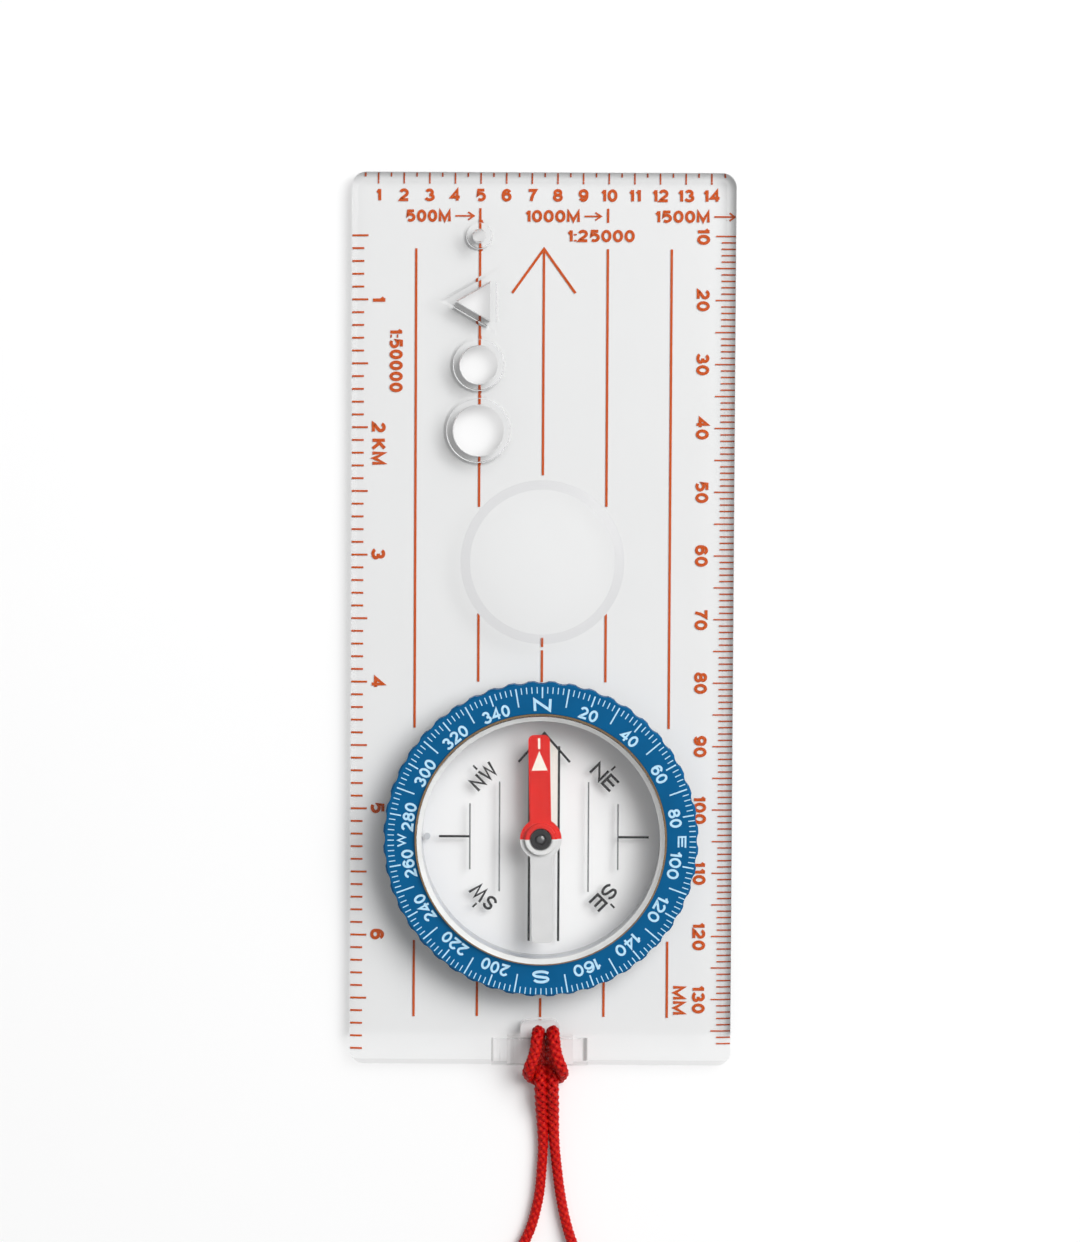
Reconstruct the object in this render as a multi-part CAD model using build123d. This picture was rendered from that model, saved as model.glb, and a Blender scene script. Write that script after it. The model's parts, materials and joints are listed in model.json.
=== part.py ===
from build123d import *

import math
import os

# Baseplate compass: a clear rectangular plate with a magnifier and stencil holes, a round dial that
# turns in the plate, a magnetic needle that swings in the dial's capsule, and a neck cord.
# Millimetres. +Z is up and the plate lies flat on z = 0. The origin is the middle of the plate's
# underside, and +Y runs to the plate's front edge, where its direction arrow points.

# ---- plate -------------------------------------------------------------------------------------
plate_width = 60.0
plate_length = 140.0
plate_thickness = 2.8
plate_corner_radius = 2.2
plate_foot_radius = 0.3
edge_bevel_width = 1.5
edge_bevel_depth = 0.7

# magnifier moulded on the plate: a shallow dome on a round step with a sloped flank
lens_to_dial_gap = 6.3
lens_diameter = 22.5
lens_rise = 1.2
lens_flank_width = 1.65
lens_flank_height = 0.4

# drawing holes, in a column left of the middle, each in a low raised rim with a sloped flank
stencil_column_x = -10.1
stencil_rim_width = 0.9
stencil_rim_height = 0.6
stencil_flank_width = 0.6
stencil_dot_diameter = 2.0
stencil_dot_from_front = 9.9
stencil_triangle_side = 6.1
stencil_triangle_from_front = 20.1
stencil_small_diameter = 6.0
stencil_small_from_front = 30.0
stencil_large_diameter = 8.0
stencil_large_from_front = 40.25

# cord slot at the plate's rear edge, and the rounded bridge bar that the cord is hitched round
slot_width = 6.1
slot_length = 2.7
slot_corner_radius = 1.2
bar_depth = 4.4
bar_thickness = 1.6
bar_underside_z = 2.3
bar_length = 15.2
bar_ramp_length = 1.5
channel_half_width = 5.2

# ---- dial --------------------------------------------------------------------------------------
dial_to_slot_gap = 4.9
dial_running_gap = 0.15

bezel_overhang = 2.0
bezel_skirt_wall = 1.95
bezel_top_z = 6.6
bezel_lift = 0.25
bezel_foot_z = 0.25
bezel_edge_chamfer = 0.35
scallop_count = 48
scallop_depth = 0.3
scallop_radius = 2.3

retainer_seat_width = 1.4
retainer_seat_depth = 1.2
retainer_groove_depth = 0.85
retainer_thickness = 0.5
retainer_foot_z = 0.5
retainer_side_gap = 0.1
retainer_edge_gap = 0.4
retainer_split = 3.0

capsule_radius = 19.3
capsule_wall = 0.7
capsule_floor_z = 0.3
capsule_floor_thickness = 1.2
capsule_flange_width = 1.1
capsule_gap = 0.1
capsule_seam_z = 7.0
cover_thickness = 1.4
cover_edge_radius = 0.3
cover_spigot_depth = 0.4
cover_spigot_gap = 0.08

trim_ring_thickness = 0.3
trim_ring_height = 1.9
trim_ring_gap = 0.05
trim_ring_proud = 0.3

fill_plug_radius = 0.5
fill_plug_height = 0.35
fill_plug_inset = 0.7

# ---- needle and its bearing --------------------------------------------------------------------
pin_radius = 0.5
pin_seat_depth = 1.4
pin_tip_z = 5.4
pin_tip_radius = 0.06
pin_taper_length = 1.0
pin_boss_radius = 1.3
pin_boss_height = 0.8
pin_fit_gap = 0.02

needle_lean = 1.3
needle_length = 32.6
needle_width = 3.35
needle_thickness = 0.3
needle_tip_radius = 0.9
needle_foot_z = 4.9
needle_eye_radius = 3.25

hub_radius = 2.55
hub_height = 0.7
hub_edge_radius = 0.25

bush_radius = 1.6
bush_fit_gap = 0.05
bush_flange_radius = 2.2
bush_flange_thickness = 0.3
bush_proud = 0.15
bush_window_radius = 0.6

jewel_radius = 0.9
jewel_height = 0.85
jewel_fit_gap = 0.03
jewel_cup_depth = 0.55
jewel_cup_radius = 0.5
jewel_cup_tip_radius = 0.1

# ---- neck cord ---------------------------------------------------------------------------------
cord_diameter = 1.7

# Route of the cow hitch, left half, from the left standing part to the middle of the bight: along
# the table, over the bight, under the bridge bar, up through the slot, back over the bar and down
# to the bight. The right half is its mirror image about hitch_x. x is from hitch_x, and y is from the
# plate's rear edge, as in the other routes.
hitch_x = 0.9
hitch_left_half = [
    (-0.95, -11.0, 0.87),
    (-0.95, -7.9, 0.87),
    (-0.95, -3.9, 2.95),
    (-0.95, -1.9, 2.95),
    (-0.95, 0.7, 1.0),
    (-1.05, 5.45, 1.0),
    (-1.45, 5.45, 4.9),
    (-2.6, -1.0, 4.9),
    (-2.85, -1.9, 1.9),
    (-1.55, -3.2, 0.87),
]

# Inner corners of the standing parts' routes. Their ends follow from the hitch, the coil and the knot.
left_corners = [
    (0.2, -16.6, 0.87),
    (0.3, -21.5, 0.87),
    (-1.2, -27.6, 0.87),
    (-5.2, -33.4, 0.87),
    (-11.0, -37.6, 0.87),
    (-16.6, -42.0, 0.95),
]
right_corners = [
    (2.3, -16.6, 0.87),
    (2.9, -21.5, 0.87),
    (4.1, -26.6, 0.95),
    (6.3, -31.2, 1.4),
]
hitch_tail = 2.0
coil_lead = 5.0
knot_lead = 3.2

# The length that is put away is one flat coil of two layers: it spirals in below, climbs in one
# half turn at the middle and spirals out above.
coil_centre_x = -6.0
coil_centre_from_rear = -56.0
coil_outer_radius = 13.7
coil_foot_gap = 0.65
coil_turn_gap = 0.45
coil_half_turns = 8

tie_width = 2.4
tie_thickness = 0.5
tie_gap = 0.12
tie_corner_radius = 0.8

# Barrel knot that joins the cord's two ends, and the short link between it and the coil.
knot_wraps = 4
knot_wrap_width = 1.7
knot_radius = 2.55
knot_end_radius = 1.95
knot_end_length = 0.75
link_end = 2.0
link_slope = 3.6

# ---- sizes that follow from the ones above ------------------------------------------------------
capsule_floor_top_z = capsule_floor_z + capsule_floor_thickness
capsule_bore_radius = capsule_radius + capsule_gap
capsule_flange_radius = capsule_radius + capsule_flange_width
capsule_inner_radius = capsule_radius - capsule_wall
fill_plug_centre = capsule_inner_radius - fill_plug_inset
skirt_radius = capsule_flange_radius + capsule_gap + bezel_skirt_wall
dial_bore_radius = skirt_radius + dial_running_gap
bezel_radius = dial_bore_radius + bezel_overhang
bezel_head_z = plate_thickness + bezel_lift
retainer_seat_radius = dial_bore_radius + retainer_seat_width
retainer_groove_radius = skirt_radius - retainer_groove_depth
retainer_bore_radius = retainer_groove_radius + retainer_side_gap
retainer_radius = retainer_seat_radius - retainer_edge_gap
plate_rear_y = -plate_length / 2
plate_front_y = plate_length / 2
slot_near_y = plate_rear_y + bar_depth
dial_centre_y = slot_near_y + slot_length + dial_to_slot_gap + retainer_seat_radius
lens_foot_radius = lens_diameter / 2 + lens_flank_width
lens_centre_y = dial_centre_y + retainer_seat_radius + lens_to_dial_gap + lens_foot_radius
stencil_top_z = plate_thickness + stencil_rim_height
trim_ring_bore = capsule_radius + trim_ring_gap
trim_seat_radius = trim_ring_bore + trim_ring_thickness + trim_ring_gap
trim_ring_foot_z = bezel_top_z + trim_ring_proud - trim_ring_height
pin_boss_top_z = capsule_floor_top_z + pin_boss_height
needle_top_z = needle_foot_z + needle_thickness
needle_hole_radius = bush_radius + bush_fit_gap
hub_top_z = needle_top_z + hub_height
bush_top_z = hub_top_z + bush_proud
jewel_top_z = pin_tip_z + bush_fit_gap + (jewel_height - jewel_cup_depth)
coil_pitch = cord_diameter + coil_turn_gap
coil_low_z = coil_foot_gap + cord_diameter / 2
coil_high_z = coil_low_z + coil_pitch
coil_inner_radius = coil_outer_radius - coil_half_turns * coil_pitch / 2
coil_centre_y = plate_rear_y + coil_centre_from_rear
coil_start_x = coil_centre_x - coil_outer_radius
coil_end_x = coil_centre_x + coil_outer_radius
coil_end_y = coil_centre_y + cord_diameter
knot_z = knot_radius + 0.02
knot_rear_y = coil_end_y + 2 * link_end + link_slope
knot_front_y = knot_rear_y + 2 * knot_end_length + knot_wraps * knot_wrap_width

DIAL = Location((0, dial_centre_y, 0))
NEEDLE = Location((0, dial_centre_y, 0), (0, 0, needle_lean))


def turned(outline):
    """Solid of revolution about Z of a closed outline of (radius, z) points."""
    section = Polygon(*outline, align=None)
    return revolve(Plane.XZ * section, Axis.Z)


def ring_between(inner_radius, outer_radius, low_z, high_z):
    """Plain ring about Z."""
    return turned([(inner_radius, low_z), (outer_radius, low_z), (outer_radius, high_z), (inner_radius, high_z)])


# ---- plate -------------------------------------------------------------------------------------
def bevelled_slab():
    """Plate blank: straight sides below, a wide shallow bevel round the top, a small foot radius."""
    outline = RectangleRounded(plate_width, plate_length, plate_corner_radius)
    bevel_angle = math.degrees(math.atan2(edge_bevel_width, edge_bevel_depth))
    side_height = plate_thickness - edge_bevel_depth
    sides = extrude(outline, side_height)
    top = extrude(Plane.XY.offset(side_height) * outline, edge_bevel_depth, taper=bevel_angle)
    slab = sides + top
    foot_edges = slab.faces().sort_by(Axis.Z)[0].edges()
    return fillet(foot_edges, plate_foot_radius)


def with_lens(plate):
    """Raises a round step with a sloped flank on the plate, and the magnifier's dome on the step."""
    centre = Location((0, lens_centre_y, 0))
    step_z = plate_thickness + lens_flank_height
    lens_radius = lens_diameter / 2
    step = turned(
        [
            (0, plate_thickness / 2),
            (lens_foot_radius, plate_thickness / 2),
            (lens_foot_radius, plate_thickness),
            (lens_radius, step_z),
            (0, step_z),
        ]
    )
    ball_radius = (lens_radius**2 + lens_rise**2) / (2 * lens_rise)
    ball = Pos(0, 0, step_z + lens_rise - ball_radius) * Sphere(ball_radius)
    core = Pos(0, 0, plate_thickness) * Cylinder(
        lens_radius, lens_flank_height + lens_rise, align=(Align.CENTER, Align.CENTER, Align.MIN)
    )
    return plate + centre * step + centre * (ball & core)


def with_rimmed_hole(plate, hole, rim_top, rim_foot, from_front):
    """Raises one drawing hole's rim on the plate and cuts the hole through both."""
    place = Pos(stencil_column_x, plate_front_y - from_front, 0)
    flank = loft([Plane.XY.offset(plate_thickness) * rim_foot, Plane.XY.offset(stencil_top_z) * rim_top])
    seat = Plane.XY.offset(plate_thickness / 2) * rim_foot
    rim = extrude(seat, plate_thickness / 2) + flank
    return plate + place * rim - place * extrude(hole, stencil_top_z)


def with_round_hole(plate, diameter, from_front):
    hole = Circle(diameter / 2)
    rim_top = Circle(diameter / 2 + stencil_rim_width)
    rim_foot = Circle(diameter / 2 + stencil_rim_width + stencil_flank_width)
    return with_rimmed_hole(plate, hole, rim_top, rim_foot, from_front)


def with_triangle_hole(plate):
    """Equal-sided triangle that points to the plate's left edge."""
    corner_radius = stencil_triangle_side / math.sqrt(3)
    hole = RegularPolygon(corner_radius, 3, rotation=180)
    top_radius = corner_radius + 2 * stencil_rim_width
    rim_top = RegularPolygon(top_radius, 3, rotation=180)
    rim_foot = RegularPolygon(top_radius + 2 * stencil_flank_width, 3, rotation=180)
    return with_rimmed_hole(plate, hole, rim_top, rim_foot, stencil_triangle_from_front)


def bridge_bar():
    """Bar over the cord's channel: full round front and rear edges, ends ramped to the plate's top."""
    bar_middle = (plate_rear_y + bar_depth / 2, bar_underside_z + bar_thickness / 2)
    section = SlotOverall(bar_depth, bar_thickness)
    bar = extrude(Plane.YZ.offset(-bar_length / 2) * Pos(*bar_middle) * section, bar_length)
    bar_top_z = bar_underside_z + bar_thickness
    for side in (1, -1):
        end = side * bar_length / 2
        ramp = Polygon(
            (end - side * bar_ramp_length, bar_top_z),
            (end, plate_thickness),
            (end, bar_top_z),
            align=None,
        )
        bar -= extrude(Plane.XZ.offset(-slot_near_y) * ramp, bar_depth)
    return bar


def make_baseplate():
    plate = with_lens(bevelled_slab())
    plate -= DIAL * Cylinder(dial_bore_radius, 3 * plate_thickness)
    plate -= DIAL * Cylinder(
        retainer_seat_radius, retainer_seat_depth, align=(Align.CENTER, Align.CENTER, Align.MIN)
    )
    plate = with_round_hole(plate, stencil_dot_diameter, stencil_dot_from_front)
    plate = with_triangle_hole(plate)
    plate = with_round_hole(plate, stencil_small_diameter, stencil_small_from_front)
    plate = with_round_hole(plate, stencil_large_diameter, stencil_large_from_front)

    slot_reach = slot_length + slot_corner_radius
    slot = RectangleRounded(slot_width, slot_reach, slot_corner_radius)
    plate -= Pos(0, slot_near_y + slot_length - slot_reach / 2, 0) * extrude(slot, plate_thickness)
    channel = Box(
        2 * channel_half_width, bar_depth, plate_thickness, align=(Align.CENTER, Align.MIN, Align.MIN)
    )
    plate -= Pos(0, plate_rear_y, 0) * channel
    return plate + bridge_bar()


# ---- dial --------------------------------------------------------------------------------------
def make_bezel_ring():
    """Blue ring: scalloped head over the plate, skirt in the plate's bore, groove for the retainer."""
    groove_top_z = retainer_foot_z + retainer_thickness + retainer_side_gap
    lip_radius = skirt_radius - dial_running_gap
    flange_seat_z = capsule_floor_top_z + retainer_side_gap / 2
    outline = [
        (capsule_flange_radius + capsule_gap, bezel_foot_z),
        (lip_radius, bezel_foot_z),
        (lip_radius, retainer_foot_z),
        (retainer_groove_radius, retainer_foot_z),
        (retainer_groove_radius, groove_top_z),
        (skirt_radius, groove_top_z),
        (skirt_radius, bezel_head_z),
        (bezel_radius, bezel_head_z),
        (bezel_radius, bezel_top_z - bezel_edge_chamfer),
        (bezel_radius - bezel_edge_chamfer, bezel_top_z),
        (trim_seat_radius, bezel_top_z),
        (trim_seat_radius, trim_ring_foot_z),
        (capsule_bore_radius, trim_ring_foot_z),
        (capsule_bore_radius, flange_seat_z),
        (capsule_flange_radius + capsule_gap, flange_seat_z),
    ]
    ring = turned(outline)
    head_height = bezel_top_z - bezel_head_z
    scoop = Pos(0, 0, bezel_head_z + head_height / 2) * Cylinder(scallop_radius, 2 * head_height)
    scoop_orbit = bezel_radius - scallop_depth + scallop_radius
    scoops = PolarLocations(scoop_orbit, scallop_count) * scoop
    return DIAL * (ring - scoops)


def make_retaining_ring():
    """Split spring ring: it lies in the bezel's groove and under the plate's shoulder."""
    low_z = retainer_foot_z
    ring = ring_between(retainer_bore_radius, retainer_radius, low_z, low_z + retainer_thickness)
    middle_radius = (retainer_bore_radius + retainer_radius) / 2
    split_length = 2 * (retainer_radius - retainer_bore_radius)
    split = Pos(0, -middle_radius, low_z) * Box(retainer_split, split_length, 4 * retainer_thickness)
    return DIAL * (ring - split)


def make_capsule_base():
    """Clear cup: flanged floor with the pin's boss, thin wall up to the cover's seam."""
    outline = [
        (0, capsule_floor_z),
        (capsule_flange_radius, capsule_floor_z),
        (capsule_flange_radius, capsule_floor_top_z),
        (capsule_radius, capsule_floor_top_z),
        (capsule_radius, capsule_seam_z),
        (capsule_inner_radius, capsule_seam_z),
        (capsule_inner_radius, capsule_floor_top_z),
        (pin_boss_radius, capsule_floor_top_z),
        (pin_boss_radius, pin_boss_top_z),
        (0, pin_boss_top_z),
    ]
    cup = turned(outline)
    pin_hole_foot = pin_boss_top_z - pin_seat_depth
    cup -= Pos(0, 0, pin_hole_foot) * Cylinder(
        pin_radius + pin_fit_gap, pin_seat_depth, align=(Align.CENTER, Align.CENTER, Align.MIN)
    )
    plug_hole_foot = capsule_floor_top_z - fill_plug_height
    cup -= Pos(-fill_plug_centre, 0, plug_hole_foot) * Cylinder(
        fill_plug_radius + pin_fit_gap, fill_plug_height, align=(Align.CENTER, Align.CENTER, Align.MIN)
    )
    return DIAL * cup


def make_capsule_cover():
    """Clear lid with a rounded top edge and a spigot that centres it in the cup."""
    spigot_radius = capsule_inner_radius - cover_spigot_gap
    top_z = capsule_seam_z + cover_thickness
    disc = ring_between(0, capsule_radius, capsule_seam_z, top_z)
    disc = fillet(disc.faces().sort_by(Axis.Z)[-1].edges(), cover_edge_radius)
    spigot = ring_between(0, spigot_radius, capsule_seam_z - cover_spigot_depth, capsule_seam_z)
    return DIAL * (disc + spigot)


def make_capsule_ring():
    """Thin trim ring in the seam between the bezel and the capsule."""
    outer_radius = trim_ring_bore + trim_ring_thickness
    return DIAL * ring_between(
        trim_ring_bore, outer_radius, trim_ring_foot_z, trim_ring_foot_z + trim_ring_height
    )


def make_fill_plug():
    foot_z = capsule_floor_top_z - fill_plug_height
    plug = Cylinder(fill_plug_radius, fill_plug_height, align=(Align.CENTER, Align.CENTER, Align.MIN))
    return DIAL * Pos(-fill_plug_centre, 0, foot_z) * plug


def make_pivot_pin():
    """Pin with a tapered point, seated in the floor's boss."""
    foot_z = pin_boss_top_z - pin_seat_depth
    return DIAL * turned(
        [
            (0, foot_z),
            (pin_radius, foot_z),
            (pin_radius, pin_tip_z - pin_taper_length),
            (pin_tip_radius, pin_tip_z),
            (0, pin_tip_z),
        ]
    )


# ---- needle ------------------------------------------------------------------------------------
def make_needle_blade():
    """Flat magnetised strip with a round eye."""
    strip = RectangleRounded(needle_width, needle_length, needle_tip_radius)
    outline = strip + Circle(needle_eye_radius) - Circle(needle_hole_radius)
    return NEEDLE * extrude(Plane.XY.offset(needle_foot_z) * outline, needle_thickness)


def make_needle_hub():
    """Raised collar on the blade's eye."""
    collar = ring_between(needle_hole_radius, hub_radius, needle_top_z, hub_top_z)
    top_edges = collar.faces().sort_by(Axis.Z)[-1].edges()
    return NEEDLE * fillet(top_edges, hub_edge_radius)


def make_needle_bush():
    """Black bush through the blade and the collar, flanged below and open above the jewel."""
    flange_top_z = needle_foot_z
    flange_foot_z = flange_top_z - bush_flange_thickness
    bore_radius = jewel_radius + jewel_fit_gap
    return NEEDLE * turned(
        [
            (bore_radius, flange_foot_z),
            (bush_flange_radius, flange_foot_z),
            (bush_flange_radius, flange_top_z),
            (bush_radius, flange_top_z),
            (bush_radius, bush_top_z),
            (bush_window_radius + (bush_top_z - jewel_top_z), bush_top_z),
            (bush_window_radius, jewel_top_z),
            (bore_radius, jewel_top_z),
        ]
    )


def make_jewel():
    """Bearing cup: its cone sits over the pin's point."""
    foot_z = jewel_top_z - jewel_height
    cup_z = foot_z + jewel_cup_depth
    return NEEDLE * turned(
        [
            (jewel_cup_radius, foot_z),
            (jewel_radius, foot_z),
            (jewel_radius, jewel_top_z),
            (0, jewel_top_z),
            (0, cup_z),
            (jewel_cup_tip_radius, cup_z),
        ]
    )


# ---- neck cord ---------------------------------------------------------------------------------
def bend_radii(points):
    """Largest easy bend at each inner point: 0.45 of the shorter run over the half turn's tangent."""
    radii = []
    for before, here, after in zip(points, points[1:], points[2:]):
        run_in = Vector(*here) - Vector(*before)
        run_out = Vector(*after) - Vector(*here)
        half_turn = math.radians(run_in.get_angle(run_out)) / 2
        radii.append(0.45 * min(run_in.length, run_out.length) / math.tan(half_turn))
    return radii


def swept_cord(name, path):
    """Round tube along a path, its volume compared with its section times its length."""
    section = Plane(origin=path @ 0, z_dir=path % 0) * Circle(cord_diameter / 2)
    tube = sweep(section, path=path)
    expected = math.pi * (cord_diameter / 2) ** 2 * path.length
    share = tube.volume / expected
    print(name, "length", round(path.length, 1), "volume over section times length", round(share, 4))
    return tube


def from_rear(points, x_shift=0.0):
    """Route points moved from the plate's rear edge to the row's origin."""
    return [(x + x_shift, y + plate_rear_y, z) for x, y, z in points]


def cord_along(name, points):
    radii = bend_radii(points)
    print(name, "bend radii", [round(radius, 2) for radius in radii])
    return swept_cord(name, FilletPolyline(*points, radius=radii))


def make_hitch():
    left = from_rear(hitch_left_half, hitch_x)
    right = [(2 * hitch_x - x, y, z) for x, y, z in reversed(left)]
    return cord_along("lanyard_hitch", left + right)


def flat_half_turn(centre_x, radius, z, heading):
    """Half circle of the coil, through its south side when heading is -1 and its north side when 1."""
    start = (centre_x + heading * radius, coil_centre_y, z)
    middle = (centre_x, coil_centre_y + heading * radius, z)
    end = (centre_x - heading * radius, coil_centre_y, z)
    return ThreePointArc(start, middle, end)


def climbing_quarters(radius):
    """Two quarter circles through the coil's south side that climb from the low to the high layer."""
    half_climb = (coil_high_z - coil_low_z) / 2
    reach = math.hypot(radius, half_climb)
    across = Vector(radius / reach, 0, half_climb / reach)
    start = Vector(coil_centre_x - radius, coil_centre_y, coil_low_z)
    south = Vector(0, -1, 0)
    middle = start + south * reach + across * reach
    first_mid = start + south * (reach * math.sin(math.pi / 4)) + across * (reach * (1 - math.cos(math.pi / 4)))
    end = middle + across * reach - south * reach
    last_mid = end + south * (reach * math.sin(math.pi / 4)) - across * (reach * (1 - math.cos(math.pi / 4)))
    return [ThreePointArc(start, first_mid, middle), ThreePointArc(middle, last_mid, end)]


def coil_edges():
    """Centre line of the coil: straight in, spiral in, climb, spiral out, straight out."""
    half_pitch = coil_pitch / 2
    low_start = Vector(coil_centre_x - coil_outer_radius, coil_centre_y, coil_low_z)
    edges = [Line(low_start + Vector(0, cord_diameter, 0), low_start)]
    for turn in range(coil_half_turns):
        north = turn % 2
        centre_x = coil_centre_x + half_pitch * north
        radius = coil_outer_radius - turn * half_pitch
        edges.append(flat_half_turn(centre_x, radius, coil_low_z, 1 if north else -1))
    edges += climbing_quarters(coil_inner_radius)
    for turn in range(1, coil_half_turns + 1):
        north = turn % 2
        centre_x = coil_centre_x - half_pitch * north
        radius = coil_inner_radius + turn * half_pitch
        edges.append(flat_half_turn(centre_x, radius, coil_high_z, 1 if north else -1))
    high_end = edges[-1] @ 1
    edges.append(Line(high_end, high_end + Vector(0, cord_diameter, 0)))
    return edges


def least_gap(path):
    """Least clear distance of the cord to itself, measured on points a millimetre apart."""
    steps = round(path.length)
    points = [path @ (step / steps) for step in range(steps + 1)]
    apart = math.ceil(3 * cord_diameter)
    nearest = min(
        (points[i] - points[j]).length for i in range(len(points)) for j in range(i + apart, len(points))
    )
    return nearest - cord_diameter


def make_coil():
    path = Wire([edge.edge() for edge in coil_edges()])
    print("lanyard_coil least gap to itself", round(least_gap(path), 3))
    return swept_cord("lanyard_coil", path)


def standing_start(side):
    """First two points of a standing part: it leaves the hitch in line with it."""
    x, y, z = hitch_left_half[0]
    return from_rear([(-side * x, y, z), (-side * x, y - hitch_tail, z)], hitch_x)


def make_left():
    coil_end = [(coil_start_x, coil_end_y + coil_lead, coil_low_z), (coil_start_x, coil_end_y, coil_low_z)]
    return cord_along("lanyard_left", standing_start(-1) + from_rear(left_corners) + coil_end)


def make_right():
    knot_end = [(coil_end_x, knot_front_y + knot_lead, knot_z), (coil_end_x, knot_front_y, knot_z)]
    return cord_along("lanyard_right", standing_start(1) + from_rear(right_corners) + knot_end)


def make_link():
    return cord_along(
        "lanyard_link",
        [
            (coil_end_x, coil_end_y, coil_high_z),
            (coil_end_x, coil_end_y + link_end, coil_high_z),
            (coil_end_x, knot_rear_y - link_end, knot_z),
            (coil_end_x, knot_rear_y, knot_z),
        ],
    )


def make_knot():
    """Barrel knot: wraps side by side between two short cones."""
    groove_radius = knot_radius - 0.35 * knot_wrap_width
    first = knot_rear_y + knot_end_length
    grooves = [first + knot_wrap_width * wrap for wrap in range(knot_wraps + 1)]
    lines = [
        Line((0, knot_rear_y), (knot_end_radius, knot_rear_y)),
        Line((knot_end_radius, knot_rear_y), (groove_radius, grooves[0])),
    ]
    for near, far in zip(grooves, grooves[1:]):
        crest = (knot_radius, (near + far) / 2)
        lines.append(ThreePointArc((groove_radius, near), crest, (groove_radius, far)))
    lines += [
        Line((groove_radius, grooves[-1]), (knot_end_radius, knot_front_y)),
        Line((knot_end_radius, knot_front_y), (0, knot_front_y)),
        Line((0, knot_front_y), (0, knot_rear_y)),
    ]
    section = make_face(Wire([line.edge() for line in lines]))
    return Pos(coil_end_x, 0, knot_z) * revolve(section, Axis.Y)


def make_tie():
    """Flat band round the coil's turns at its north side."""
    half_pitch = coil_pitch / 2
    cord_radius = cord_diameter / 2
    inner_turn = coil_inner_radius + half_pitch
    turn_sag = inner_turn - math.sqrt(inner_turn**2 - (tie_width / 2 + half_pitch) ** 2)
    near = inner_turn - turn_sag - cord_radius - 2 * tie_gap
    far = coil_outer_radius - half_pitch + cord_radius + tie_gap
    low_z = coil_low_z - cord_radius - tie_gap
    high_z = coil_high_z + cord_radius + tie_gap
    inner = RectangleRounded(far - near, high_z - low_z, tie_corner_radius)
    outer = RectangleRounded(
        far - near + 2 * tie_thickness,
        high_z - low_z + 2 * tie_thickness,
        tie_corner_radius + tie_thickness,
    )
    middle = Pos(coil_centre_y + (near + far) / 2, (low_z + high_z) / 2)
    band = Plane.YZ.offset(coil_centre_x - tie_width / 2) * middle * (outer - inner)
    return extrude(band, tie_width)


# ---- pieces ------------------------------------------------------------------------------------
pieces = {
    "baseplate": make_baseplate(),
    "bezel_ring": make_bezel_ring(),
    "retaining_ring": make_retaining_ring(),
    "capsule_base": make_capsule_base(),
    "capsule_cover": make_capsule_cover(),
    "capsule_ring": make_capsule_ring(),
    "fill_plug": make_fill_plug(),
    "pivot_pin": make_pivot_pin(),
    "needle_blade": make_needle_blade(),
    "needle_hub": make_needle_hub(),
    "needle_bush": make_needle_bush(),
    "jewel": make_jewel(),
    "lanyard_hitch": make_hitch(),
    "lanyard_left": make_left(),
    "lanyard_right": make_right(),
    "lanyard_coil": make_coil(),
    "lanyard_link": make_link(),
    "lanyard_knot": make_knot(),
    "coil_tie": make_tie(),
}

os.makedirs("parts", exist_ok=True)
for node, solid in pieces.items():
    export_step(solid, f"parts/{node}.step")
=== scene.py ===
import json
import math

import bpy
import numpy as np
from mathutils import Matrix, Vector


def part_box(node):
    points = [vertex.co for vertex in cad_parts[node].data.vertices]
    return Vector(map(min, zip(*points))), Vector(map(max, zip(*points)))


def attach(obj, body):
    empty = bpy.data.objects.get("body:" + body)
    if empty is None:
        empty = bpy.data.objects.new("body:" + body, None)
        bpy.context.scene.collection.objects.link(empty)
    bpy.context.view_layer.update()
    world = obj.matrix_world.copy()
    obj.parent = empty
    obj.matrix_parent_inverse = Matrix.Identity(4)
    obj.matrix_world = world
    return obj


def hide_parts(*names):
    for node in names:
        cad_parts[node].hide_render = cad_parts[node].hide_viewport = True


# Baseplate compass: finish, printed marks, braided neck cord, floor, lamps and camera round the
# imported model. The frame is the part's own, in metres: +Z is up, +Y runs to the plate's front edge.
# Printed marks, and the sizes of the finishes' patterns, are in millimetres.

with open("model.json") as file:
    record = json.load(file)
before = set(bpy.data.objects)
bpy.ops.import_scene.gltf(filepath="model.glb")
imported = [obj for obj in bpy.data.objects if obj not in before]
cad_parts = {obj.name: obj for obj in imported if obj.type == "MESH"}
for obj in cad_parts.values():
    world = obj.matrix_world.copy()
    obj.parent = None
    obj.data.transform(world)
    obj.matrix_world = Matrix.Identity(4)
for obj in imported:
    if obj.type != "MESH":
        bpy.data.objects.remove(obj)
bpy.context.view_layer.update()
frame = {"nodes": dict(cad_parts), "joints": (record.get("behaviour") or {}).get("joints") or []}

MM = 0.001
nodes = frame["nodes"]
joints = {joint["name"]: joint for joint in frame["joints"]}
plate_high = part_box("baseplate")[1]
bezel_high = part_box("bezel_ring")[1]
dial_centre_y = joints["dial_turn"]["pos_m"][1] / MM
plate_half_width = plate_high.x / MM
plate_half_length = plate_high.y / MM

# Forms of the part that the finishes and marks follow, in millimetres.
plate_top = 2.8
capsule_floor_top = 1.5
lens_centre_y, lens_rim, lens_foot = 9.2, 11.25, 12.9
bar_front_y, bar_nose_y = -65.5, -69.2
channel_edge_x = 5.2


# ---- materials ---------------------------------------------------------------------------------
def srgb(red, green, blue):
    """Linear colour of a display colour given from 0 to 255."""
    levels = [level / 255 for level in (red, green, blue)]
    linear = [v / 12.92 if v <= 0.04045 else ((v + 0.055) / 1.055) ** 2.4 for v in levels]
    return (*linear, 1.0)


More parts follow.
